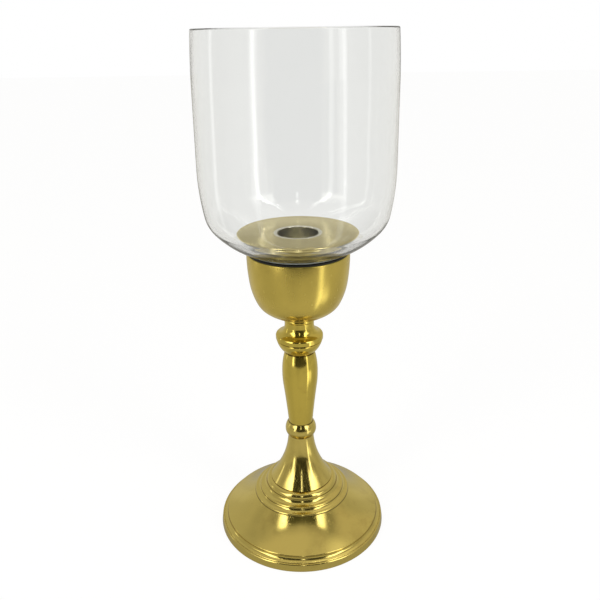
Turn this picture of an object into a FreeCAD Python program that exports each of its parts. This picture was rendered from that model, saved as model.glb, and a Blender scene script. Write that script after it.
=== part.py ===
import FreeCAD, Part
import math
import os
import Sketcher
from FreeCAD import Vector

# Pillar candle holder with a glass storm shade.
# A brass foot, stem and cup are clamped together by one threaded rod; the glass shade
# stands on a rubber ring on the cup's rim, and a candle plate with a socket stands
# inside the shade. Millimetres, +Z up, origin at the centre of the face it stands on.

# Driving dimensions. A name ending in _r is a radius from the axis, _z a height above
# the standing face, _arc the radius of an arc in an outline.
SIZES = {
    # foot dish: rim band, ledge, cove, sloping dish, three stepped rings; and its underside
    "foot_underside_r": 69.8, "foot_under_lip_z": 2.2, "foot_standing_r": 74.1,
    "foot_widest_r": 74.6, "foot_heel_arc": 0.5, "rim_band_r": 73.9, "rim_band_z": 5.4,
    "rim_round_arc": 1.3, "rim_top_r": 72.8, "rim_top_z": 6.7, "rim_groove_r": 72.4,
    "rim_groove_z": 6.5, "ledge_outer_r": 72.1, "ledge_outer_z": 7.0, "ledge_inner_r": 70.8,
    "ledge_inner_z": 7.5, "rim_cove_arc": 3.2, "dish_lip_r": 68.9, "dish_lip_z": 10.9,
    "dish_edge_arc": 0.9, "dish_edge_r": 68.4, "dish_edge_z": 11.8, "dish_arc": 93.0,
    "dish_top_r": 42.6, "dish_top_z": 30.7, "outer_ring_r": 41.2, "outer_ring_z": 32.4,
    "middle_step_r": 37.7, "middle_step_z": 34.6, "middle_ring_r": 36.4, "middle_ring_z": 36.3,
    "inner_step_r": 31.9, "inner_step_z": 40.0, "inner_ring_r": 28.4, "foot_top_z": 44.6,
    "ring_edge_arc": 1.3, "ring_cove_arc": 4.4, "inner_ring_arc": 4.2, "foot_web_z": 40.2,
    "foot_web_r": 25.0, "foot_boss_r": 22.6, "foot_boss_step": 2.0, "foot_under_ring_r": 40.0,
    "foot_under_ring_z": 27.6, "foot_under_arc": 96.0, "foot_under_edge_r": 65.6,
    "foot_under_edge_z": 9.0, "foot_under_rim_r": 67.0, "foot_under_rim_z": 5.2,
    # trumpet
    "trumpet_foot_r": 27.6, "trumpet_edge": 0.5, "trumpet_arc": 74.6, "trumpet_neck_r": 11.3,
    "trumpet_neck_z": 87.4, "trumpet_top_z": 88.8, "trumpet_hollow_r": 24.0, "trumpet_hollow_z": 47.0,
    "trumpet_hollow_arc": 77.0, "trumpet_hollow_top_r": 8.0, "trumpet_hollow_top_z": 80.5,
    # bead
    "bead_foot_r": 11.5, "bead_widest_r": 13.65, "bead_widest_z": 94.2, "bead_lower_arc": 8.1,
    "bead_upper_arc": 12.2, "bead_top_r": 10.9, "bead_top_z": 101.9,
    # baluster
    "baluster_foot_r": 10.6, "baluster_neck_arc": 900.0, "baluster_shoulder_r": 14.4,
    "baluster_shoulder_z": 136.5, "baluster_lower_arc": 92.0, "baluster_widest_r": 15.45,
    "baluster_widest_z": 151.0, "baluster_upper_arc": 70.0, "baluster_top_r": 12.9, "baluster_top_z": 170.4,
    # collar: bowl, groove, rim, cavetto, neck and ring
    "collar_foot_r": 12.3, "collar_bowl_r": 19.4, "collar_bowl_z": 181.2, "collar_bowl_arc": 20.0,
    "collar_groove_r": 18.6, "collar_groove_z": 182.1, "collar_rim_r": 20.1, "collar_rim_low_z": 183.0,
    "collar_rim_z": 186.2, "collar_rim_top_r": 19.6, "collar_rim_top_z": 187.1, "collar_cavetto_arc": 8.6,
    "collar_neck_r": 12.45, "collar_neck_z": 195.4, "collar_neck_top_z": 198.6, "collar_ring_r": 12.6,
    "collar_ring_low_z": 199.4, "collar_ring_top_z": 202.6, "collar_ring_arc": 1.75, "collar_top_z": 203.5,
    # cup, outside then inside
    "cup_foot_r": 13.5, "cup_foot_arc": 38.0, "cup_belly_r": 30.4, "cup_belly_z": 211.6,
    "cup_turn_arc": 19.0, "cup_turn_r": 35.3, "cup_turn_z": 218.0, "cup_wall_arc": 60.0,
    "cup_wall_r": 40.45, "cup_wall_z": 234.0, "cup_side_arc": 162.0, "cup_rim_r": 42.3,
    "cup_rim_z": 260.7, "cup_rim_edge": 0.6, "cup_lip_r": 37.0, "cup_lip_z": 256.4,
    "cup_mouth_r": 39.6, "cup_mouth_z": 253.6, "cup_inner_side_arc": 159.0,
    "cup_inner_wall_r": 37.8, "cup_inner_wall_z": 234.6, "cup_inner_wall_arc": 57.0,
    "cup_inner_turn_r": 32.9, "cup_inner_turn_z": 219.8, "cup_inner_turn_arc": 16.0,
    "cup_inner_belly_r": 28.7, "cup_inner_belly_z": 214.4, "cup_inner_foot_arc": 38.0,
    "cup_floor_r": 14.0, "cup_floor_z": 207.5,
    # rod, nuts and washers that clamp the stem
    "rod_radius": 4.0, "rod_bore_r": 4.25, "rod_end": 3.0, "rod_chamfer": 0.8,
    "nut_across_flats": 13.0, "nut_height": 6.5, "nut_crown_r": 6.6, "nut_crown_drop": 0.6,
    "nut_corner_r": 7.8, "foot_washer_r": 14.0, "foot_washer_height": 2.0, "lock_washer_r": 6.9,
    "lock_washer_height": 2.0, "lock_washer_turn": 348.0, "cup_washer_r": 10.0, "cup_washer_height": 1.6,
    # rubber ring on the cup's rim
    "gasket_outer_r": 41.6, "gasket_inner_r": 34.5, "gasket_height": 1.3, "gasket_edge": 0.3,
    # glass shade, outside then inside
    "shade_wall": 2.2, "shade_floor": 3.2, "shade_rim_edge": 1.1, "shade_hole_r": 20.5,
    "shade_hole_edge": 0.5, "shade_flat_r": 37.5, "shade_heel_arc": 9.06, "shade_heel_r": 40.9,
    "shade_heel_rise": 0.65, "shade_bowl_arc": 74.1, "shade_bowl_r": 68.2, "shade_bowl_z": 281.8,
    "shade_turn_arc": 23.3, "shade_turn_r": 73.7, "shade_turn_z": 292.7, "shade_side_arc": 194.6,
    "shade_side_r": 77.7, "shade_side_z": 331.5, "shade_upper_z": 392.0, "shade_upper_arc": 552.0,
    "shade_rim_r": 76.3, "shade_top_z": 431.8, "shade_inner_side_arc": 178.5,
    "shade_inner_turn_r": 71.35, "shade_inner_turn_z": 293.2, "shade_inner_turn_arc": 20.8,
    "shade_inner_bowl_r": 66.25, "shade_inner_bowl_z": 283.55, "shade_inner_bowl_arc": 71.1,
    "shade_inner_heel_r": 39.8, "shade_inner_heel_rise": 0.4, "shade_inner_heel_arc": 6.6,
    "shade_inner_flat_r": 37.5,
    # candle plate, its rubber ring and its socket
    "plate_ring_outer_r": 28.6, "plate_ring_inner_r": 21.5, "plate_ring_height": 0.8,
    "plate_boss_r": 29.0, "plate_boss_edge": 0.4, "plate_r": 50.0, "plate_under_z": 272.4,
    "plate_top_z": 275.8, "plate_edge": 0.6, "socket_bore_r": 16.75, "socket_outer_r": 18.5,
    "socket_lip": 1.2, "socket_mouth_edge": 0.3, "socket_foot_z": 249.0, "socket_floor": 1.6,
    "socket_foot_arc": 2.4,
}


class Size:
    """A length that keeps its value and the spreadsheet expression it comes from."""

    def __init__(self, value, expression):
        self.value = value
        self.expression = expression

    def __add__(self, other):
        return Size(self.value + other.value, f"({self.expression} + {other.expression})")

    def __sub__(self, other):
        return Size(self.value - other.value, f"({self.expression} - {other.expression})")

    def bind(self, item, prop):
        """Set a property of an object or sketch from the spreadsheet."""
        item.setExpression(prop, self.expression)


def size(name):
    return Size(SIZES[name], f"sizes.{name}")


ZERO = Size(0.0, "0")
AXIS = ZERO
CCW, CW = 1, -1


def line(r, z):
    """A straight run of an outline to a point, as radius and height."""
    return (size(r) if isinstance(r, str) else r, size(z) if isinstance(z, str) else z, None, 0)


def arc(r, z, radius, turn):
    """An arc of an outline to a point; its turn is seen with the radius to the right, height up."""
    r_size, z_size, _, _ = line(r, z)
    return (r_size, z_size, size(radius) if isinstance(radius, str) else radius, turn)


def make_sheet(doc):
    sheet = doc.addObject("Spreadsheet::Sheet", "sizes")
    for row, (name, value) in enumerate(SIZES.items(), start=1):
        sheet.set(f"A{row}", name)
        sheet.set(f"B{row}", f"{value:g}")
        sheet.setAlias(f"B{row}", name)
    doc.recompute()
    return sheet


def make_body(doc, label):
    body = doc.addObject("PartDesign::Body", label)
    body.Label = label
    return body


def origin_plane(body, role):
    return next(item for item in body.Origin.OriginFeatures if item.Role == role)


def arc_geometry(start, end, radius, turn):
    """The minor arc between two points, with its centre on the left for CCW and right for CW."""
    chord = end - start
    half = chord.Length / 2
    rise = math.sqrt(max(radius * radius - half * half, 0.0))
    left = Vector(-chord.y, chord.x, 0).normalize()
    centre = (start + end) * 0.5 + left * (rise * turn)
    first, last = (start, end) if turn == CCW else (end, start)
    angle_from = math.atan2(first.y - centre.y, first.x - centre.x)
    angle_to = math.atan2(last.y - centre.y, last.x - centre.x)
    if angle_to < angle_from:
        angle_to += 2 * math.pi
    circle = Part.Circle(centre, Vector(0, 0, 1), radius)
    return Part.ArcOfCircle(circle, angle_from, angle_to)


def make_outline(body, name, steps):
    """A closed outline in the XZ plane; every corner and arc radius is tied to the sheet."""
    sketch = body.newObject("Sketcher::SketchObject", name)
    sketch.AttachmentSupport = [(origin_plane(body, "XZ_Plane"), "")]
    sketch.MapMode = "FlatFace"
    points = [Vector(r.value, z.value, 0) for r, z, _, _ in steps]
    ends = []
    for index, (_, _, radius, turn) in enumerate(steps):
        start, end = points[index - 1], points[index]
        if radius is None:
            edge = sketch.addGeometry(Part.LineSegment(start, end))
        else:
            edge = sketch.addGeometry(arc_geometry(start, end, radius.value, turn))
        ends.append((edge, 2, 1) if turn == CW else (edge, 1, 2))
    for index, (edge, edge_start, _) in enumerate(ends):
        previous, _, previous_end = ends[index - 1]
        sketch.addConstraint(Sketcher.Constraint("Coincident", previous, previous_end, edge, edge_start))
    for index, (r, z, radius, _) in enumerate(steps):
        edge, _, edge_end = ends[index]
        for kind, axis, length in (("DistanceX", -2, r), ("DistanceY", -1, z)):
            if length is ZERO:
                sketch.addConstraint(Sketcher.Constraint("PointOnObject", edge, edge_end, axis))
                continue
            item = sketch.addConstraint(Sketcher.Constraint(kind, -1, 1, edge, edge_end, length.value))
            length.bind(sketch, f"Constraints[{item}]")
        if radius is not None:
            item = sketch.addConstraint(Sketcher.Constraint("Radius", edge, radius.value))
            radius.bind(sketch, f"Constraints[{item}]")
    return sketch


def revolve(body, name, steps, kind="Revolution", angle=None):
    """Turn an outline about the Z axis, as added material or as a groove."""
    sketch = make_outline(body, name + "_outline", steps)
    feature = body.newObject("PartDesign::" + kind, name)
    feature.Profile = sketch
    feature.ReferenceAxis = (sketch, ["V_Axis"])
    feature.Angle = 360
    if angle:
        angle.bind(feature, "Angle")
    body.Tip = feature
    return feature


def place_at(body, height):
    """Lift a body that is modelled from its own standing face to its place on the axis."""
    height.bind(body, ".Placement.Base.z")


def make_foot_dish(doc):
    body = make_body(doc, "foot_dish")
    boss_top = size("foot_top_z") + size("foot_boss_step")
    revolve(body, "dish", [
        line("foot_underside_r", ZERO),
        line("foot_standing_r", ZERO),
        arc("foot_widest_r", "foot_heel_arc", "foot_heel_arc", CCW),
        line("rim_band_r", "rim_band_z"),
        arc("rim_top_r", "rim_top_z", "rim_round_arc", CCW),
        line("rim_groove_r", "rim_groove_z"),
        line("ledge_outer_r", "ledge_outer_z"),
        line("ledge_inner_r", "ledge_inner_z"),
        arc("dish_lip_r", "dish_lip_z", "rim_cove_arc", CW),
        arc("dish_edge_r", "dish_edge_z", "dish_edge_arc", CCW),
        arc("dish_top_r", "dish_top_z", "dish_arc", CW),
        arc("outer_ring_r", "outer_ring_z", "ring_edge_arc", CCW),
        arc("middle_step_r", "middle_step_z", "ring_cove_arc", CW),
        arc("middle_ring_r", "middle_ring_z", "ring_edge_arc", CCW),
        arc("inner_step_r", "inner_step_z", "ring_cove_arc", CW),
        arc("inner_ring_r", "foot_top_z", "inner_ring_arc", CCW),
        line("foot_boss_r", "foot_top_z"),
        line("foot_boss_r", boss_top),
        line("rod_bore_r", boss_top),
        line("rod_bore_r", "foot_web_z"),
        line("foot_web_r", "foot_web_z"),
        line("foot_under_ring_r", "foot_under_ring_z"),
        arc("foot_under_edge_r", "foot_under_edge_z", "foot_under_arc", CCW),
        line("foot_under_rim_r", "foot_under_rim_z"),
        line("foot_underside_r", "foot_under_lip_z"),
    ])
    return body


def make_stem_trumpet(doc):
    body = make_body(doc, "stem_trumpet")
    revolve(body, "trumpet", [
        line("trumpet_hollow_r", "foot_top_z"),
        line(size("trumpet_foot_r") - size("trumpet_edge"), "foot_top_z"),
        line("trumpet_foot_r", size("foot_top_z") + size("trumpet_edge")),
        arc("trumpet_neck_r", "trumpet_neck_z", "trumpet_arc", CW),
        line("trumpet_neck_r", "trumpet_top_z"),
        line("rod_bore_r", "trumpet_top_z"),
        line("rod_bore_r", "trumpet_hollow_top_z"),
        line("trumpet_hollow_top_r", "trumpet_hollow_top_z"),
        arc("trumpet_hollow_r", "trumpet_hollow_z", "trumpet_hollow_arc", CCW),
    ])
    return body


def make_stem_bead(doc):
    body = make_body(doc, "stem_bead")
    revolve(body, "bead", [
        line("rod_bore_r", "trumpet_top_z"),
        line("bead_foot_r", "trumpet_top_z"),
        arc("bead_widest_r", "bead_widest_z", "bead_lower_arc", CCW),
        arc("bead_top_r", "bead_top_z", "bead_upper_arc", CCW),
        line("rod_bore_r", "bead_top_z"),
    ])
    return body


def make_stem_baluster(doc):
    body = make_body(doc, "stem_baluster")
    revolve(body, "baluster", [
        line("rod_bore_r", "bead_top_z"),
        line("baluster_foot_r", "bead_top_z"),
        arc("baluster_shoulder_r", "baluster_shoulder_z", "baluster_neck_arc", CW),
        arc("baluster_widest_r", "baluster_widest_z", "baluster_lower_arc", CCW),
        arc("baluster_top_r", "baluster_top_z", "baluster_upper_arc", CCW),
        line("rod_bore_r", "baluster_top_z"),
    ])
    return body


def make_stem_collar(doc):
    body = make_body(doc, "stem_collar")
    revolve(body, "collar", [
        line("rod_bore_r", "baluster_top_z"),
        line("collar_foot_r", "baluster_top_z"),
        arc("collar_bowl_r", "collar_bowl_z", "collar_bowl_arc", CCW),
        line("collar_groove_r", "collar_groove_z"),
        line("collar_rim_r", "collar_rim_low_z"),
        line("collar_rim_r", "collar_rim_z"),
        line("collar_rim_top_r", "collar_rim_top_z"),
        arc("collar_neck_r", "collar_neck_z", "collar_cavetto_arc", CW),
        line("collar_neck_r", "collar_neck_top_z"),
        line("collar_ring_r", "collar_ring_low_z"),
        arc("collar_ring_r", "collar_ring_top_z", "collar_ring_arc", CCW),
        line("collar_neck_r", "collar_top_z"),
        line("rod_bore_r", "collar_top_z"),
    ])
    return body


def make_cup(doc):
    body = make_body(doc, "cup")
    revolve(body, "cup_shell", [
        line("rod_bore_r", "collar_top_z"),
        line("cup_foot_r", "collar_top_z"),
        arc("cup_belly_r", "cup_belly_z", "cup_foot_arc", CCW),
        arc("cup_turn_r", "cup_turn_z", "cup_turn_arc", CCW),
        arc("cup_wall_r", "cup_wall_z", "cup_wall_arc", CCW),
        arc("cup_rim_r", size("cup_rim_z") - size("cup_rim_edge"), "cup_side_arc", CCW),
        line(size("cup_rim_r") - size("cup_rim_edge"), "cup_rim_z"),
        line("cup_lip_r", "cup_rim_z"),
        line("cup_lip_r", "cup_lip_z"),
        line("cup_mouth_r", "cup_mouth_z"),
        arc("cup_inner_wall_r", "cup_inner_wall_z", "cup_inner_side_arc", CW),
        arc("cup_inner_turn_r", "cup_inner_turn_z", "cup_inner_wall_arc", CW),
        arc("cup_inner_belly_r", "cup_inner_belly_z", "cup_inner_turn_arc", CW),
        arc("cup_floor_r", "cup_floor_z", "cup_inner_foot_arc", CW),
        line("rod_bore_r", "cup_floor_z"),
    ])
    return body


def make_tie_rod(doc):
    """The rod runs from below the foot's nut to above the cup's nut."""
    body = make_body(doc, "tie_rod")
    radius = size("rod_radius")
    bevel = size("rod_chamfer")
    low, high = rod_ends()
    revolve(body, "rod", [
        line(AXIS, low),
        line(radius - bevel, low),
        line(radius, low + bevel),
        line(radius, high - bevel),
        line(radius - bevel, high),
        line(AXIS, high),
    ])
    return body


def rod_ends():
    nut, spare = size("nut_height"), size("rod_end")
    low = size("foot_web_z") - size("foot_washer_height") - size("lock_washer_height") - nut - spare
    high = size("cup_floor_z") + size("cup_washer_height") + nut + spare
    return low, high


def make_washer(doc, label, outer, thickness, height, turn=None):
    """A flat washer, or a split one when it does not go all the way round."""
    body = make_body(doc, label)
    revolve(body, "washer", [
        line("rod_bore_r", ZERO),
        line(outer, ZERO),
        line(outer, thickness),
        line("rod_bore_r", thickness),
    ], angle=turn)
    place_at(body, height)
    return body


def make_nut(doc, label, height):
    """A hexagon nut with its corners turned off at both ends."""
    body = make_body(doc, label)
    sketch = body.newObject("Sketcher::SketchObject", "hexagon")
    sketch.AttachmentSupport = [(origin_plane(body, "XY_Plane"), "")]
    sketch.MapMode = "FlatFace"
    corner = SIZES["nut_across_flats"] / math.sqrt(3)
    turns = [i * math.pi / 3 for i in range(6)]
    corners = [Vector(corner * math.cos(turn), corner * math.sin(turn), 0) for turn in turns]
    guide = sketch.addGeometry(Part.Circle(Vector(0, 0, 0), Vector(0, 0, 1), corner), True)
    sketch.addConstraint(Sketcher.Constraint("Coincident", guide, 3, -1, 1))
    sides = [sketch.addGeometry(Part.LineSegment(corners[i], corners[(i + 1) % 6])) for i in range(6)]
    for i, side in enumerate(sides):
        sketch.addConstraint(Sketcher.Constraint("Coincident", side, 2, sides[(i + 1) % 6], 1))
        sketch.addConstraint(Sketcher.Constraint("PointOnObject", side, 1, guide))
    for side in sides[1:]:
        sketch.addConstraint(Sketcher.Constraint("Equal", sides[0], side))
    sketch.addConstraint(Sketcher.Constraint("PointOnObject", sides[0], 1, -1))
    across = sketch.addConstraint(Sketcher.Constraint("Diameter", guide, 2 * corner))
    sketch.setExpression(f"Constraints[{across}]", "sizes.nut_across_flats * 2 / sqrt(3)")
    prism = body.newObject("PartDesign::Pad", "prism")
    prism.Profile = sketch
    size("nut_height").bind(prism, "Length")
    body.Tip = prism

    top, drop = size("nut_height"), size("nut_crown_drop")
    revolve(body, "bore", [
        line(AXIS, ZERO),
        line("rod_bore_r", ZERO),
        line("rod_bore_r", top),
        line(AXIS, top),
    ], kind="Groove")
    for name, end, inner in (("lower_crown", ZERO, drop), ("upper_crown", top, top - drop)):
        revolve(body, name, [
            line("nut_crown_r", end),
            line("nut_corner_r", end),
            line("nut_corner_r", inner),
        ], kind="Groove")
    place_at(body, height)
    return body


def make_fastenings(doc):
    """The clamp stacks: washer, split washer and nut below the foot, washer and nut in the cup."""
    below_washer = size("foot_web_z") - size("foot_washer_height")
    below_lock = below_washer - size("lock_washer_height")
    on_washer = size("cup_floor_z") + size("cup_washer_height")
    return [
        make_tie_rod(doc),
        make_washer(doc, "foot_washer", "foot_washer_r", "foot_washer_height", below_washer),
        make_washer(doc, "lock_washer", "lock_washer_r", "lock_washer_height", below_lock,
                    turn=size("lock_washer_turn")),
        make_nut(doc, "foot_nut", below_lock - size("nut_height")),
        make_washer(doc, "cup_washer", "cup_washer_r", "cup_washer_height", size("cup_floor_z")),
        make_nut(doc, "cup_nut", on_washer),
    ]


def make_rim_gasket(doc):
    """A rubber ring with eased edges; the shade's flat bottom stands on it."""
    body = make_body(doc, "rim_gasket")
    outer, inner = size("gasket_outer_r"), size("gasket_inner_r")
    top, edge = size("gasket_height"), size("gasket_edge")
    revolve(body, "ring", [
        line(inner, ZERO),
        line(outer, ZERO),
        line(outer, top - edge),
        arc(outer - edge, top, edge, CCW),
        line(inner + edge, top),
        arc(inner, top - edge, edge, CCW),
    ])
    place_at(body, size("cup_rim_z"))
    return body


def shade_bottom():
    return size("cup_rim_z") + size("gasket_height")


def make_glass_shade(doc):
    """The shade: holed flat bottom, round bowl, tall wall drawing in slightly to the rim."""
    body = make_body(doc, "glass_shade")
    bottom, wall, lip = shade_bottom(), size("shade_wall"), size("shade_rim_edge")
    floor = bottom + size("shade_floor")
    hole, edge = size("shade_hole_r"), size("shade_hole_edge")
    revolve(body, "shade", [
        line("shade_flat_r", bottom),
        arc("shade_heel_r", bottom + size("shade_heel_rise"), "shade_heel_arc", CCW),
        arc("shade_bowl_r", "shade_bowl_z", "shade_bowl_arc", CCW),
        arc("shade_turn_r", "shade_turn_z", "shade_turn_arc", CCW),
        arc("shade_side_r", "shade_side_z", "shade_side_arc", CCW),
        line("shade_side_r", "shade_upper_z"),
        arc("shade_rim_r", size("shade_top_z") - lip, "shade_upper_arc", CCW),
        arc(size("shade_rim_r") - lip, "shade_top_z", lip, CCW),
        arc(size("shade_rim_r") - lip - lip, size("shade_top_z") - lip, lip, CCW),
        arc(size("shade_side_r") - wall, "shade_upper_z", "shade_upper_arc", CW),
        line(size("shade_side_r") - wall, "shade_side_z"),
        arc("shade_inner_turn_r", "shade_inner_turn_z", "shade_inner_side_arc", CW),
        arc("shade_inner_bowl_r", "shade_inner_bowl_z", "shade_inner_turn_arc", CW),
        arc("shade_inner_heel_r", floor + size("shade_inner_heel_rise"), "shade_inner_bowl_arc", CW),
        arc("shade_inner_flat_r", floor, "shade_inner_heel_arc", CW),
        line(hole + edge, floor),
        arc(hole, floor - edge, edge, CCW),
        line(hole, bottom + edge),
        arc(hole + edge, bottom, edge, CCW),
    ])
    return body


def make_plate_ring(doc):
    body = make_body(doc, "plate_ring")
    revolve(body, "ring", [
        line("plate_ring_inner_r", ZERO),
        line("plate_ring_outer_r", ZERO),
        line("plate_ring_outer_r", "plate_ring_height"),
        line("plate_ring_inner_r", "plate_ring_height"),
    ])
    place_at(body, shade_bottom() + size("shade_floor"))
    return body


def make_candle_plate(doc):
    """A round plate with bevelled edges on a boss, bored for the socket and its lip."""
    body = make_body(doc, "candle_plate")
    under, top = size("plate_under_z"), size("plate_top_z")
    bevel, eased = size("plate_edge"), size("plate_boss_edge")
    boss_foot = shade_bottom() + size("shade_floor") + size("plate_ring_height")
    revolve(body, "plate", [
        line("socket_outer_r", boss_foot),
        line(size("plate_boss_r") - eased, boss_foot),
        line("plate_boss_r", boss_foot + eased),
        line("plate_boss_r", under),
        line(size("plate_r") - bevel, under),
        line("plate_r", under + bevel),
        line("plate_r", top - bevel),
        line(size("plate_r") - bevel, top),
        line(size("socket_outer_r") + size("socket_lip"), top),
        line("socket_outer_r", top - size("socket_lip")),
    ])
    return body


def make_candle_socket(doc):
    """A closed cup pressed into the plate, flush with its top face."""
    body = make_body(doc, "candle_socket")
    top, foot = size("plate_top_z"), size("socket_foot_z")
    outer, inner, corner = size("socket_outer_r"), size("socket_bore_r"), size("socket_foot_arc")
    wall = outer - inner
    revolve(body, "socket", [
        line(AXIS, foot),
        line(outer - corner, foot),
        arc(outer, foot + corner, corner, CCW),
        line(outer, top - size("socket_lip")),
        line(outer + size("socket_lip"), top),
        line(inner + size("socket_mouth_edge"), top),
        line(inner, top - size("socket_mouth_edge")),
        line(inner, foot + corner),
        arc(outer - corner, foot + size("socket_floor"), corner - wall, CW),
        line(AXIS, foot + size("socket_floor")),
    ])
    return body


def check(doc):
    for item in doc.Objects:
        if "Invalid" in item.State or "Error" in item.State:
            raise RuntimeError(f"{item.Name} is {item.State}")


def main():
    os.makedirs("parts", exist_ok=True)
    doc = FreeCAD.newDocument("pillar_candle_holder")
    make_sheet(doc)
    bodies = [
        make_foot_dish(doc),
        make_stem_trumpet(doc),
        make_stem_bead(doc),
        make_stem_baluster(doc),
        make_stem_collar(doc),
        make_cup(doc),
        *make_fastenings(doc),
        make_rim_gasket(doc),
        make_glass_shade(doc),
        make_plate_ring(doc),
        make_candle_plate(doc),
        make_candle_socket(doc),
    ]
    doc.recompute()
    check(doc)
    for body in bodies:
        shape = body.Shape
        if shape.isNull() or not shape.isValid() or len(shape.Solids) != 1:
            raise RuntimeError(f"{body.Label} is not one sound solid")
        shape.exportStep(f"parts/{body.Label}.step")


main()
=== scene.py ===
import bpy
import math
from mathutils import Euler, Matrix, Vector


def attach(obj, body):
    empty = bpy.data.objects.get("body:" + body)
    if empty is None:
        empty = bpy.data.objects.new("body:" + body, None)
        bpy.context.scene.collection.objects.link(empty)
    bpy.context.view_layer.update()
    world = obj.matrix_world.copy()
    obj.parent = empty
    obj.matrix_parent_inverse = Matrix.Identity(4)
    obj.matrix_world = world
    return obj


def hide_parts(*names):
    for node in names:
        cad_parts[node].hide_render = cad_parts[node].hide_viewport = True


MM = 0.001
CCW, CW = 1, -1
TINY = 1e-6
TURNS = 288                     # facets round the axis
SPACING = 2.0                   # mm, about the farthest apart that points of an outline lie
ARC_STEP = math.radians(4)      # the most that an arc turns from point to point
SHARP = math.radians(7)         # corners that turn by less aren't rounded
LONGEST_EASE = 0.45             # the most of a run that the rounding of a corner takes
HOLD = 0.6                      # how far from a rounding the flat is held, as a part of its reach

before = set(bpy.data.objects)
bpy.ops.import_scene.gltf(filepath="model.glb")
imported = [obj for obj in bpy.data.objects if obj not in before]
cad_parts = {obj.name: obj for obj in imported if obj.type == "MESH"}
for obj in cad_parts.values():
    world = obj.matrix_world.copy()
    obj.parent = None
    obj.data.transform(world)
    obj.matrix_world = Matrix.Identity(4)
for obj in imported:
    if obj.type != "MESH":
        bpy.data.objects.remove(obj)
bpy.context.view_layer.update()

# ---------------------------------------------------------------- outlines

# Each point is (radius, height) in mm and is reached by a straight line from the one before it. A point
# (radius, height, bend, CCW or CW) is reached by an arc whose radius is bend.

FOOT = [
    (69.8, 0.0), (74.1, 0.0), (74.6, 0.5, 0.5, CCW), (73.9, 5.4), (72.8, 6.7, 1.3, CCW),
    (72.4, 6.5), (72.1, 7.0), (70.8, 7.5), (68.9, 10.9, 3.2, CW), (68.4, 11.8, 0.9, CCW),
    (42.6, 30.7, 93.0, CW), (41.2, 32.4, 1.3, CCW), (37.7, 34.6, 4.4, CW), (36.4, 36.3, 1.3, CCW),
    (31.9, 40.0, 4.4, CW), (28.4, 44.6, 4.2, CCW), (22.6, 44.6), (22.6, 46.6), (4.25, 46.6),
    (4.25, 40.2), (25.0, 40.2), (40.0, 27.6), (65.6, 9.0, 96.0, CCW), (67.0, 5.2), (69.8, 2.2),
]
TRUMPET = [
    (24.0, 44.6), (27.1, 44.6), (27.6, 45.1), (11.3, 87.4, 74.6, CW), (11.3, 88.8), (4.25, 88.8),
    (4.25, 80.5), (8.0, 80.5), (24.0, 47.0, 77.0, CCW),
]
BEAD = [
    (4.25, 88.8), (11.5, 88.8), (13.65, 94.2, 8.1, CCW), (10.9, 101.9, 12.2, CCW), (4.25, 101.9),
]
BALUSTER = [
    (4.25, 101.9), (10.6, 101.9), (14.4, 136.5, 900.0, CW), (15.45, 151.0, 92.0, CCW),
    (12.9, 170.4, 70.0, CCW), (4.25, 170.4),
]
COLLAR = [
    (4.25, 170.4), (12.3, 170.4), (19.4, 181.2, 20.0, CCW), (18.6, 182.1), (20.1, 183.0),
    (20.1, 186.2), (19.6, 187.1), (12.45, 195.4, 8.6, CW), (12.45, 198.6), (12.6, 199.4),
    (12.6, 202.6, 1.75, CCW), (12.45, 203.5), (4.25, 203.5),
]
CUP = [
    (4.25, 203.5), (13.5, 203.5), (30.4, 211.6, 38.0, CCW), (35.3, 218.0, 19.0, CCW),
    (40.45, 234.0, 60.0, CCW), (42.3, 260.1, 162.0, CCW), (41.7, 260.7), (37.0, 260.7),
    (37.0, 256.4), (39.6, 253.6), (37.8, 234.6, 159.0, CW), (32.9, 219.8, 57.0, CW),
    (28.7, 214.4, 16.0, CW), (14.0, 207.5, 38.0, CW), (4.25, 207.5),
]
GASKET = [
    (34.5, 260.7), (41.6, 260.7), (41.6, 261.7), (41.3, 262.0, 0.3, CCW), (34.8, 262.0),
    (34.5, 261.7, 0.3, CCW),
]
SHADE = [
    (37.5, 262.0), (40.9, 262.65, 9.06, CCW), (68.2, 281.8, 74.1, CCW), (73.7, 292.7, 23.3, CCW),
    (77.7, 331.5, 194.6, CCW), (77.7, 392.0), (76.3, 430.7, 552.0, CCW), (75.2, 431.8, 1.1, CCW),
    (74.1, 430.7, 1.1, CCW), (75.5, 392.0, 552.0, CW), (75.5, 331.5), (71.35, 293.2, 178.5, CW),
    (66.25, 283.55, 20.8, CW), (39.8, 265.6, 71.1, CW), (37.5, 265.2, 6.6, CW), (21.0, 265.2),
    (20.5, 264.7, 0.5, CCW), (20.5, 262.5), (21.0, 262.0, 0.5, CCW),
]
PLATE_RING = [(21.5, 265.2), (28.6, 265.2), (28.6, 266.0), (21.5, 266.0)]
PLATE = [
    (18.5, 266.0), (28.6, 266.0), (29.0, 266.4), (29.0, 272.4), (49.4, 272.4), (50.0, 273.0),
    (50.0, 275.2), (49.4, 275.8), (19.7, 275.8), (18.5, 274.6),
]
SOCKET = [
    (0.0, 249.0), (16.1, 249.0), (18.5, 251.4, 2.4, CCW), (18.5, 274.6), (19.7, 275.8),
    (17.05, 275.8), (16.75, 275.5), (16.75, 251.4), (16.1, 250.6, 0.65, CW), (0.0, 250.6),
]


# ---------------------------------------------------------------- lathe work

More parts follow.
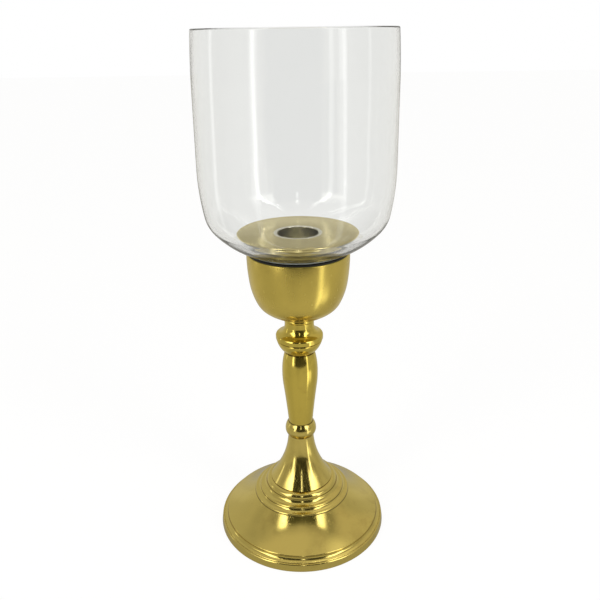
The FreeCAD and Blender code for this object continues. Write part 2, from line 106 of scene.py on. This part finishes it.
def run_points(start, step):
    """Points along one straight or round run, without its start."""
    end = Vector(step[:2])
    chord = end - start
    if len(step) == 2:
        count = max(1, math.ceil(chord.length / SPACING))
        return [start + chord * (i / count) for i in range(1, count + 1)]
    radius, turn = step[2:]
    radius = max(radius, chord.length / 2 + TINY)
    left = Vector((-chord.y, chord.x)).normalized()
    centre = (start + end) / 2 + left * (turn * math.sqrt(radius ** 2 - (chord.length / 2) ** 2))
    sweep = 2 * math.asin(min(1.0, chord.length / 2 / radius)) * turn
    count = max(2, math.ceil(abs(sweep) / ARC_STEP), math.ceil(chord.length / SPACING))
    spoke = start - centre
    return [centre + Matrix.Rotation(sweep * i / count, 2) @ spoke for i in range(1, count)] + [end]


def rounded(corner, into, out, ease):
    """Points round one corner, with one more on either side that keeps the flat beside it flat."""
    reach_in = min(ease, into.length * LONGEST_EASE)
    reach_out = min(ease, out.length * LONGEST_EASE)
    start = corner - into.normalized() * reach_in
    end = corner + out.normalized() * reach_out
    points = [start - into.normalized() * reach_in * HOLD]
    for t in (0.0, 0.25, 0.5, 0.75, 1.0):
        points.append(start * (1 - t) ** 2 + corner * 2 * t * (1 - t) + end * t ** 2)
    points.append(end + out.normalized() * reach_out * HOLD)
    return points


def trace(outline, ease):
    """A dense outline whose corners are rounded over ease mm, so that edges catch the light.

    An outline that starts on the axis stays open there, and any other is closed.
    """
    closed = outline[0][0] > 0
    runs = []
    for i, step in enumerate(outline):
        if i == 0 and not closed:
            continue
        start = Vector(outline[i - 1][:2])
        runs.append([start] + run_points(start, step))
    points = [] if closed else [runs[0][0]]
    for i, run in enumerate(runs):
        last = not closed and i == len(runs) - 1
        following = runs[(i + 1) % len(runs)]
        into, out = (run[-1] - run[-2]), (following[1] - following[0])
        bend = 0.0 if last else abs(into.angle_signed(out, 0.0))
        points.extend(run[1:-1])
        if last or bend < SHARP:
            points.append(run[-1])
        else:
            points.extend(rounded(run[-1], into, out, ease))
    return points, closed


def lathe(name, outline, ease):
    """A solid turned about the Z axis."""
    points, closed = trace(outline, ease)
    verts, rings = [], []
    for r, z in points:
        if r < TINY:
            rings.append([len(verts)])
            verts.append((0.0, 0.0, z * MM))
            continue
        ring = []
        for k in range(TURNS):
            angle = 2 * math.pi * k / TURNS
            ring.append(len(verts))
            verts.append((r * MM * math.cos(angle), r * MM * math.sin(angle), z * MM))
        rings.append(ring)
    faces = []
    pairs = list(zip(rings, rings[1:])) + ([(rings[-1], rings[0])] if closed else [])
    for low, high in pairs:
        for k in range(TURNS):
            n = (k + 1) % TURNS
            if len(low) == 1:
                faces.append((low[0], high[n], high[k]))
            elif len(high) == 1:
                faces.append((low[k], low[n], high[0]))
            else:
                faces.append((low[k], low[n], high[n], high[k]))
    mesh = bpy.data.meshes.new(name)
    mesh.from_pydata(verts, [], faces)
    mesh.polygons.foreach_set("use_smooth", [True] * len(mesh.polygons))
    mesh.update()
    piece = bpy.data.objects.new(name, mesh)
    bpy.context.scene.collection.objects.link(piece)
    return piece


# ---------------------------------------------------------------- material helpers

class Nodes:
    """A short way to write a node tree."""

    def __init__(self, tree):
        self.tree = tree
        self.tree.nodes.clear()

    def add(self, kind, inputs=None, **settings):
        """A node with its settings and with its inputs set or linked."""
        node = self.tree.nodes.new(kind)
        for key, value in settings.items():
            setattr(node, key, value)
        for key, value in (inputs or {}).items():
            if isinstance(value, bpy.types.NodeSocket):
                self.tree.links.new(value, node.inputs[key])
            else:
                node.inputs[key].default_value = value
        return node

    def math(self, operation, first, *others):
        """One operation, carried on from left to right over all the values."""
        result = first
        for value in others or (0.0,):
            result = self.add("ShaderNodeMath", {0: result, 1: value}, operation=operation).outputs[0]
        return result

    def away(self, value, centre):
        """How far a value lies from a centre, to either side."""
        return self.math("ABSOLUTE", self.math("SUBTRACT", value, centre))

    def radius(self, x, y):
        """The distance from the Z axis."""
        squares = self.math("ADD", self.math("MULTIPLY", x, x), self.math("MULTIPLY", y, y))
        return self.math("SQRT", squares)

    def turn(self, x, y):
        """The turn from the front in degrees: 0 at the front and 90 on the right."""
        return self.math("DEGREES", self.math("ARCTAN2", x, self.math("MULTIPLY", y, -1.0)))

    def ramp(self, value, low, high, to_low=0.0, to_high=1.0, smooth=True):
        """to_low up to low and to_high from high on, with a slope between."""
        node = self.add("ShaderNodeMapRange", {
            "Value": value, "From Min": low, "From Max": high, "To Min": to_low, "To Max": to_high,
        }, interpolation_type="SMOOTHSTEP" if smooth else "LINEAR")
        return node.outputs["Result"]

    def band(self, value, start, full, fading, end):
        """1 from full to fading, and 0 before start and past end."""
        return self.math("MULTIPLY", self.ramp(value, start, full), self.ramp(value, fading, end, 1.0, 0.0))

    def pick(self, switch, off, on):
        """One of two values: off where the switch is 0, and on where it is 1."""
        return self.ramp(switch, 0.0, 1.0, off, on, smooth=False)

    def mix(self, factor, a, b, blend="MIX"):
        node = self.add("ShaderNodeMix", {0: factor, 6: a, 7: b}, data_type="RGBA", blend_type=blend)
        return node.outputs[2]

    def lit(self, colour, lights):
        """A colour with white light of the given strength added to it."""
        white = self.add("ShaderNodeCombineColor", {0: lights, 1: lights, 2: lights}).outputs[0]
        return self.mix(1.0, colour, white, "ADD")

    def noise(self, where, scale, detail=3.0, rough=0.5, stretch=None):
        if stretch:
            where = self.add("ShaderNodeMapping", {"Vector": where, "Scale": stretch}).outputs[0]
        node = self.add("ShaderNodeTexNoise", {
            "Vector": where, "Scale": scale, "Detail": detail, "Roughness": rough,
        })
        return node.outputs[0]

    def bump(self, height, strength, distance, normal=None):
        inputs = {"Height": height, "Strength": strength, "Distance": distance}
        if normal is not None:
            inputs["Normal"] = normal
        return self.add("ShaderNodeBump", inputs).outputs[0]


def new_material(name):
    material = bpy.data.materials.new(name)
    material.use_nodes = True
    return material, Nodes(material.node_tree)


def finish(nodes, shader):
    nodes.add("ShaderNodeOutputMaterial", {"Surface": shader.outputs[0]})


# ---------------------------------------------------------------- materials

SPECK = (0.30, 0.20, 0.06, 1)
CREASE_SHADE = (0.07, 0.05, 0.015, 1)
REFLECTED_BRASS_SHADE = (0.42, 0.365, 0.18, 1)
ZINC = (0.56, 0.57, 0.58, 1)
ZINC_BLOOM = (0.52, 0.49, 0.40, 1)
RUBBER = (0.012, 0.012, 0.012, 1)
RUBBER_DUST = (0.08, 0.075, 0.065, 1)
GLASS = (0.985, 0.990, 0.984, 1)
GLASS_SPECK = (0.82, 0.85, 0.83, 1)
GLASS_BOTTOM_SHADE = (0.47, 0.53, 0.54, 1)
GLASS_BOTTOM_SHADE_PALE = (0.57, 0.63, 0.64, 1)


def brass_colour(n, where, z, tone, dull, shade_lines, reflection_shade):
    """Brass with dull clouds and dark specks, painted shade in lines along its joints and coves, and a
    darker copy of it, painted shade, where a reflection shows it.
    """
    patches = n.noise(where, 26.0, 4.0, 0.6)
    clouds = n.noise(where, 90.0, 5.0, 0.65)
    tarnish = n.ramp(n.math("MULTIPLY", patches, clouds), 0.26, 0.42)
    colour = n.mix(n.math("MULTIPLY", tarnish, 0.45), (*tone, 1), (*dull, 1))
    specks = n.ramp(n.noise(where, 900.0, 2.0), 0.70, 0.80)
    colour = n.mix(n.math("MULTIPLY", specks, 0.35), colour, SPECK)
    # painted shade: a dark ragged line at each given height, along the joints and in the coves
    for height in shade_lines:
        ragged = n.math("ADD", n.away(z, height * MM), n.math("MULTIPLY", clouds, 0.4 * MM))
        colour = n.mix(n.ramp(ragged, 0.4 * MM, 0.8 * MM, 0.65, 0.0), colour, CREASE_SHADE)
    # painted shade: wherever a reflection shows the brass, it is mixed towards a darker copy
    again = n.math("MINIMUM", n.add("ShaderNodeLightPath").outputs["Glossy Depth"], 1.0)
    return n.mix(n.math("MULTIPLY", again, reflection_shade), colour, REFLECTED_BRASS_SHADE)


def brass(name, rough=0.10, smudge=0.08, lines=0.3, wave=0.5,
          tone=(0.86, 0.685, 0.195), dull=(0.68, 0.52, 0.145), shade_lines=(), reflection_shade=0.5):
    """Polished brass: uneven tone, faint turning lines, fine scratches, smudges and slight waves.

    rough is the clean surface's roughness and smudge what fingers add. lines and wave are the strengths of
    the bumps, shade_lines the heights in mm of the painted shade lines at joints and coves, and
    reflection_shade how much darker, as painted shade, a reflection shows it.
    """
    material, n = new_material(name)
    where = n.add("ShaderNodeTexCoord").outputs["Object"]
    x, y, z = n.add("ShaderNodeSeparateXYZ", {0: where}).outputs[:3]
    colour = brass_colour(n, where, z, tone, dull, shade_lines, reflection_shade)

    turning = n.add("ShaderNodeCombineXYZ", {0: n.radius(x, y), 1: z, 2: 0.0}).outputs[0]
    grooves = n.noise(turning, 2600.0, 4.0, 0.7)
    scratches = n.noise(where, 700.0, 2.0, 0.5, stretch=(1.0, 1.0, 0.04))
    hairline = n.ramp(scratches, 0.66, 0.72)
    finger = n.ramp(n.noise(where, 60.0, 6.0, 0.7), 0.45, 0.75)

    fingered = n.math("MULTIPLY", finger, smudge)
    roughness = n.math("ADD", fingered, rough, n.math("MULTIPLY", hairline, 0.10))
    normal = n.bump(n.noise(where, 22.0, 2.0, 0.4), wave, 1.0 * MM)
    normal = n.bump(grooves, lines, 0.04 * MM, normal)
    normal = n.bump(hairline, 0.25, 0.06 * MM, normal)
    shader = n.add("ShaderNodeBsdfPrincipled", {
        "Base Color": colour, "Metallic": 1.0, "Roughness": roughness, "Normal": normal,
    })
    finish(n, shader)
    return material


def steel(name):
    """Zinc plated steel: grey-blue with a faint yellow bloom, and turned lines."""
    material, n = new_material(name)
    where = n.add("ShaderNodeTexCoord").outputs["Object"]
    bloom = n.noise(where, 160.0, 4.0, 0.6)
    grain = n.noise(where, 2200.0, 3.0, 0.6, stretch=(0.15, 0.15, 1.0))
    shader = n.add("ShaderNodeBsdfPrincipled", {
        "Base Color": n.mix(n.ramp(bloom, 0.4, 0.65), ZINC, ZINC_BLOOM), "Metallic": 1.0,
        "Roughness": n.ramp(bloom, 0.3, 0.7, 0.26, 0.44), "Normal": n.bump(grain, 0.3, 0.05 * MM),
    })
    finish(n, shader)
    return material


def rubber(name):
    """Matt black rubber with a fine moulded grain and a little dust."""
    material, n = new_material(name)
    where = n.add("ShaderNodeTexCoord").outputs["Object"]
    dust = n.ramp(n.noise(where, 240.0, 5.0, 0.7), 0.55, 0.80)
    grain = n.noise(where, 3000.0, 2.0, 0.5)
    shader = n.add("ShaderNodeBsdfPrincipled", {
        "Base Color": n.mix(n.math("MULTIPLY", dust, 0.25), RUBBER, RUBBER_DUST),
        "Roughness": n.ramp(dust, 0.0, 1.0, 0.48, 0.72), "Specular IOR Level": 0.4,
        "Normal": n.bump(grain, 0.4, 0.06 * MM),
    })
    finish(n, shader)
    return material


def glass(name):
    """Clear soda glass, very faintly green, with slight waves and a few specks, and an opaque grey-blue
    bottom that is painted shade and reflection, standing for the shaded cup seen through it.
    """
    material, n = new_material(name)
    where = n.add("ShaderNodeTexCoord").outputs["Object"]
    waves = n.noise(where, 14.0, 2.0, 0.4, stretch=(1.0, 1.0, 0.35))
    specks = n.ramp(n.noise(where, 420.0, 2.0), 0.74, 0.80)
    film = n.ramp(n.noise(where, 30.0, 5.0, 0.65), 0.50, 0.80)
    clear = n.add("ShaderNodeBsdfPrincipled", {
        "Base Color": n.mix(n.math("MULTIPLY", specks, 0.3), GLASS, GLASS_SPECK),
        "Metallic": 0.0, "IOR": 1.50, "Transmission Weight": 1.0,
        "Roughness": n.math("MULTIPLY", film, 0.03), "Normal": n.bump(waves, 0.35, 1.2 * MM),
    })
    # painted shade and reflection: an opaque grey-blue bottom in place of the shaded cup seen through the
    # glass
    shaded_bottom = n.add("ShaderNodeBsdfPrincipled", {
        "Base Color": n.mix(film, GLASS_BOTTOM_SHADE, GLASS_BOTTOM_SHADE_PALE), "Roughness": 0.35,
    })
    z = n.add("ShaderNodeSeparateXYZ", {0: where}).outputs[2]
    bottom = n.ramp(z, 264.8 * MM, 267.2 * MM, 0.94, 0.0)
    bottom_shade = n.math("MULTIPLY", bottom, n.ramp(film, 0.0, 1.0, 1.0, 0.92))
    finish(n, n.add("ShaderNodeMixShader", {0: bottom_shade, 1: clear.outputs[0], 2: shaded_bottom.outputs[0]}))
    return material


# ---------------------------------------------------------------- pieces

polished = brass("brass_polished", shade_lines=(44.7, 88.8, 101.9))
upper_brass = brass("brass_upper", shade_lines=(101.9, 170.4, 182.1, 203.4),
                    tone=(0.87, 0.675, 0.135), dull=(0.69, 0.51, 0.10))
foot_brass = brass("brass_foot", smudge=0.09, lines=0.35, wave=0.6, shade_lines=(30.8, 34.7, 40.1))
satin = brass("brass_satin", rough=0.20, smudge=0.10, lines=0.45, wave=0.4,
              tone=(0.86, 0.665, 0.155), dull=(0.68, 0.50, 0.115))
plate_brass = brass("brass_plate", rough=0.19, smudge=0.07, wave=0.25,
                    tone=(0.76, 0.66, 0.33), dull=(0.64, 0.55, 0.27))
inner_brass = brass("brass_socket", rough=0.20, smudge=0.12, lines=0.6, wave=0.2,
                    tone=(0.95, 0.92, 0.76), dull=(0.85, 0.82, 0.64), reflection_shade=0.0)
zinc = steel("zinc_steel")
black_rubber = rubber("rubber_black")
clear_glass = glass("glass_clear")

# name, node that it replaces, outline, body, slot, material, how far its corners are rounded in mm
PIECES = [
    ("brass_foot", "foot_dish", FOOT, "stand", "brass", foot_brass, 0.22),
    ("brass_trumpet", "stem_trumpet", TRUMPET, "stand", "brass", polished, 0.15),
    ("brass_bead", "stem_bead", BEAD, "stand", "brass", polished, 0.15),
    ("brass_baluster", "stem_baluster", BALUSTER, "stand", "brass", upper_brass, 0.15),
    ("brass_collar", "stem_collar", COLLAR, "stand", "brass", upper_brass, 0.15),
    ("brass_cup", "cup", CUP, "stand", "brass", satin, 0.25),
    ("rubber_rim_ring", "rim_gasket", GASKET, "stand", "rubber", black_rubber, 0.15),
    ("glass_cylinder", "glass_shade", SHADE, "shade", "glass", clear_glass, 0.2),
    ("rubber_plate_ring", "plate_ring", PLATE_RING, "candle_tray", "rubber", black_rubber, 0.12),
    ("brass_plate", "candle_plate", PLATE, "candle_tray", "brass", plate_brass, 0.2),
    ("brass_socket", "candle_socket", SOCKET, "candle_tray", "brass", inner_brass, 0.12),
]
for name, node, outline, body, slot, material, ease in PIECES:
    piece = lathe(name, outline, ease)
    piece.data.materials.append(material)
    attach(piece, body)
    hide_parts(node)

for node in ("tie_rod", "foot_washer", "lock_washer", "foot_nut", "cup_washer", "cup_nut"):
    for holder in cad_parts[node].material_slots:
        holder.material = zinc


# ---------------------------------------------------------------- surroundings

# What the brass and glass reflect is painted by turn from the front (0, and 90 on the right) and by rise
# above level, both in degrees. The floor's part of it goes by turn and by distance from the axis in metres.
# What is seen straight through the glass is the plain BACKDROP.

BACKDROP = (0.905, 0.905, 0.900, 1)
WHITE = (1, 1, 1, 1)
BLACK = (0, 0, 0, 1)
WALL_DULL = (0.25, 0.24, 0.20, 1)
WALL_PALE = (0.44, 0.42, 0.37, 1)
WALL_BACK = (0.46, 0.45, 0.42, 1)
WALL_RIGHT = (0.50, 0.47, 0.415, 1)
CEILING_LEFT = (0.53, 0.50, 0.44, 1)
CEILING_RIGHT = (0.48, 0.455, 0.40, 1)
CEILING_FAR_RIGHT = (0.82, 0.79, 0.71, 1)
BEHIND = (0.92, 0.91, 0.88, 1)
FLANK = (2.60, 2.55, 2.40, 1)
OPENING = (0.028, 0.028, 0.020, 1)
OPENING_PATCH = (0.11, 0.105, 0.065, 1)
OPENING_TOP = (0.08, 0.078, 0.045, 1)
TABLE_DULL = (0.37, 0.36, 0.31, 1)
TABLE_PALE = (0.47, 0.455, 0.40, 1)
TABLE_SHADOW_BY_FOOT = (0.10, 0.09, 0.06, 1)
TABLE_END = (0.06, 0.058, 0.045, 1)
FLOOR = (0.93, 0.93, 0.93, 1)
FLOOR_MATT = (0.09, 0.09, 0.09, 1)


def ray_kinds(n):
    """Two switches: 1 for rays that have bounced, and 1 for rays that have come through the glass."""
    path = n.add("ShaderNodeLightPath").outputs
    bounced = n.math("MINIMUM", n.math("ADD", path["Glossy Depth"], path["Diffuse Depth"]), 1.0)
    through = n.math("MINIMUM", path["Transmission Depth"], 1.0)
    return bounced, through


def strips(n, turn, through):
    """Upright lights on the left and on the right, slimmer for rays that have come through the glass."""
    def strip(middle, core, edge, level):
        return n.ramp(n.away(turn, middle), core, edge, level, 0.0)
    left = n.pick(through, strip(-45.0, 2.5, 7.0, 1.5), strip(-45.0, 1.0, 5.0, 1.1))
    left = n.math("ADD", left, strip(-102.0, 1.0, 4.0, 0.8))
    right = n.pick(through, strip(50.5, 1.6, 6.0, 2.1), strip(54.0, 0.8, 3.8, 2.0))
    return left, right


def room_walls(n, way, turn, rise, through):
    """Dull walls, paler low down behind and high on the right, under a ceiling lightest on the right."""
    round_turn = n.math("ABSOLUTE", turn)
    drift = n.noise(way, 1.9, 3.0, 0.55)
    wall = n.mix(n.ramp(drift, 0.30, 0.70), WALL_DULL, WALL_PALE)
    wall = n.mix(n.ramp(round_turn, 60.0, 150.0), wall, WALL_BACK)
    side = n.math("MULTIPLY", n.ramp(turn, 68.0, 92.0), n.ramp(rise, 22.0, 36.0))
    wall = n.mix(side, wall, WALL_RIGHT)
    low = n.ramp(rise, 8.0, 16.0, 1.0, 0.0)
    behind = n.math("MULTIPLY", n.ramp(round_turn, 100.0, 145.0), low, n.pick(through, 0.15, 1.0))
    wall = n.mix(behind, wall, BEHIND)
    ceiling = n.mix(n.ramp(turn, 14.0, 22.0), CEILING_LEFT, CEILING_RIGHT)
    ceiling = n.mix(n.ramp(turn, 55.0, 100.0), ceiling, CEILING_FAR_RIGHT)
    return n.mix(n.ramp(rise, 54.0, 66.0), wall, ceiling)


def room_front(n, wall, way, turn, rise):
    """The walls with a dark opening at the front, wider the higher it is, between two bright flanks."""
    half_width = n.math("ADD", n.math("MULTIPLY", rise, 0.15), 30.0)
    past = n.math("SUBTRACT", n.math("ABSOLUTE", turn), half_width)
    low = n.ramp(rise, 53.0, 57.0, 1.0, 0.0)
    outward = n.math("MULTIPLY", past, n.ramp(rise, 24.0, 42.0, 1.0, 1.7))
    flank = n.math("MULTIPLY", n.ramp(past, 0.0, 3.0), n.ramp(outward, 16.0, 44.0, 1.0, 0.0))
    flank = n.math("MULTIPLY", flank, low, n.ramp(rise, 6.0, 24.0))
    wall = n.mix(flank, wall, FLANK)
    patches = n.ramp(n.noise(way, 9.0, 3.0, 0.6), 0.45, 0.65)
    dark = n.mix(patches, OPENING, OPENING_PATCH)
    dark = n.mix(n.ramp(rise, 36.0, 58.0), dark, OPENING_TOP)
    opening = n.math("MULTIPLY", n.ramp(past, -1.5, 1.5, 1.0, 0.0), low)
    return n.mix(opening, wall, dark)


def room_lights(n, turn, rise, through):
    """The upright lights, a slim lamp at the front and, through the glass only, a spot above it."""
    left, right = strips(n, turn, through)
    high = n.math("MULTIPLY", n.band(rise, 4.0, 20.0, 62.0, 80.0), through, 3.5)
    spread = n.math("ADD", n.ramp(rise, 10.0, 26.0, 1.0, 0.0), high)
    upright = n.math("MULTIPLY", n.math("ADD", left, right), spread)
    away = n.away(turn, 0.5)
    lamp = n.math("MULTIPLY", n.ramp(away, 1.0, 2.4, 2.0, 0.0), n.band(rise, 12.0, 17.0, 40.0, 47.0))
    spot = n.math("MULTIPLY", n.ramp(away, 1.5, 4.5, 3.5, 0.0), n.band(rise, 50.0, 56.0, 64.0, 72.0))
    return n.math("ADD", upright, lamp, n.math("MULTIPLY", spot, through))


def room(n, way, through):
    """What the brass and glass reflect from above the floor."""
    x, y, z = n.add("ShaderNodeSeparateXYZ", {0: way}).outputs[:3]
    turn = n.turn(x, y)
    rise = n.math("DEGREES", n.math("ARCSINE", z))
    wall = room_walls(n, way, turn, rise, through)
    studio = room_front(n, wall, way, turn, rise)
    return n.lit(studio, room_lights(n, turn, rise, through))


def floor_lights(n, turn, reach, through):
    """The upright lights as the table top shows them, and a pool of light on the right."""
    left, right = strips(n, turn, through)
    left = n.math("MULTIPLY", left, n.math("MAXIMUM", n.ramp(reach, 0.72, 0.95), through))
    near = n.ramp(reach, 0.14, 0.22, 0.0, 0.50)
    far = n.ramp(reach, 0.60, 1.05, 0.20, 1.0)
    right = n.math("MULTIPLY", right, n.pick(through, near, far))
    pool = n.math("MULTIPLY", n.ramp(n.away(turn, 62.0), 5.0, 18.0, 0.62, 0.0),
                  n.band(reach, 0.20, 0.30, 0.38, 0.48), n.pick(through, 1.0, 0.0))
    return n.math("ADD", left, right, pool)


def table_top(n, through):
    """The floor in reflections: a table top with a painted shadow by the foot, that ends in the dark at the
    front.
    """
    where = n.add("ShaderNodeTexCoord").outputs["Object"]
    x, y = n.add("ShaderNodeSeparateXYZ", {0: where}).outputs[:2]
    turn = n.turn(x, y)
    reach = n.radius(x, y)
    top = n.mix(n.ramp(n.noise(where, 2.2, 3.0, 0.5), 0.3, 0.7), TABLE_DULL, TABLE_PALE)
    round_turn = n.math("ABSOLUTE", turn)
    behind = n.math("MULTIPLY", n.ramp(round_turn, 100.0, 145.0), n.pick(through, 0.15, 1.0))
    top = n.mix(behind, top, BEHIND)
    # painted shadow of the holder on the table top, seen only in reflections
    top = n.mix(n.ramp(reach, 0.085, 0.16, 0.25, 0.0), top, TABLE_SHADOW_BY_FOOT)
    top = n.lit(top, floor_lights(n, turn, reach, through))
    front = n.math("MULTIPLY", y, -1.0)
    ended = n.math("MULTIPLY", n.ramp(front, 0.70, 0.78), n.ramp(n.away(turn, 6.0), 36.0, 40.0, 1.0, 0.0))
    return n.mix(ended, top, TABLE_END)


def make_floor():
    """The pale floor, which glows evenly, takes a faint shadow, and is a table top in reflections."""
    half = 6.0
    mesh = bpy.data.meshes.new("floor")
    corners = [(x * half, y * half, 0) for x, y in ((-1, -1), (1, -1), (1, 1), (-1, 1))]
    mesh.from_pydata(corners, [], [(0, 1, 2, 3)])
    floor = bpy.data.objects.new("floor", mesh)
    bpy.context.scene.collection.objects.link(floor)
    material, n = new_material("floor_pale")
    bounced, through = ray_kinds(n)
    seen = n.mix(through, FLOOR, BACKDROP)
    colour = n.mix(bounced, seen, table_top(n, through))
    glow = n.add("ShaderNodeEmission", {"Color": colour, "Strength": 1.0})
    matt_colour = n.mix(n.math("MAXIMUM", bounced, through), FLOOR_MATT, BLACK)
    matt = n.add("ShaderNodeBsdfDiffuse", {"Color": matt_colour})
    finish(n, n.add("ShaderNodeAddShader", {0: glow.outputs[0], 1: matt.outputs[0]}))
    mesh.materials.append(material)


def make_world():
    """A plain pale backdrop, which is the room in reflections."""
    world = bpy.data.worlds.new("studio")
    bpy.context.scene.world = world
    world.use_nodes = True
    n = Nodes(world.node_tree)
    way = n.add("ShaderNodeTexCoord").outputs["Generated"]
    bounced, through = ray_kinds(n)
    backdrop = n.mix(through, WHITE, BACKDROP)
    colour = n.mix(bounced, backdrop, room(n, way, through))
    background = n.add("ShaderNodeBackground", {"Color": colour, "Strength": 1.0})
    n.add("ShaderNodeOutputWorld", {"Surface": background.outputs[0]})


# ---------------------------------------------------------------- light and camera

def softbox(name, turn, width):
    """A tall soft light facing the stem, at a turn from the front in degrees. It isn't seen itself."""
    height, distance, radiance = 1.15, 1.3, 4.5
    around, rise = math.radians(turn), math.radians(28)
    lamp = bpy.data.lights.new(name, "AREA")
    lamp.shape = "RECTANGLE"
    lamp.size = width
    lamp.size_y = height
    lamp.energy = radiance * math.pi * width * height
    box = bpy.data.objects.new(name, lamp)
    level = math.cos(rise)
    way = Vector((math.sin(around) * level, -math.cos(around) * level, math.sin(rise)))
    aim = Vector((0, 0, 0.2))
    box.location = aim + distance * way
    box.rotation_euler = (box.location - aim).to_track_quat("Z", "Y").to_euler()
    box.visible_camera = False
    box.visible_transmission = False
    box.visible_glossy = False
    bpy.context.scene.collection.objects.link(box)


def make_camera():
    """A camera level with the holder's top, looking down on it."""
    looking_down, roll = math.radians(20), math.radians(-0.8)
    data = bpy.data.cameras.new("camera")
    data.sensor_width = 36.0
    data.lens = 41.07
    data.shift_x = -0.0015
    data.shift_y = -0.0458
    camera = bpy.data.objects.new("camera", data)
    camera.location = (0.00196, -0.530, 0.4344)
    tilt = Euler((math.pi / 2 - looking_down, 0, 0)).to_matrix().to_4x4()
    camera.rotation_euler = (tilt @ Matrix.Rotation(roll, 4, "Z")).to_euler()
    bpy.context.scene.collection.objects.link(camera)
    bpy.context.scene.camera = camera


make_floor()
make_world()
softbox("softbox_left", -43, 0.30)
softbox("softbox_right", 49, 0.28)
make_camera()
bpy.context.scene.view_settings.view_transform = "Standard"
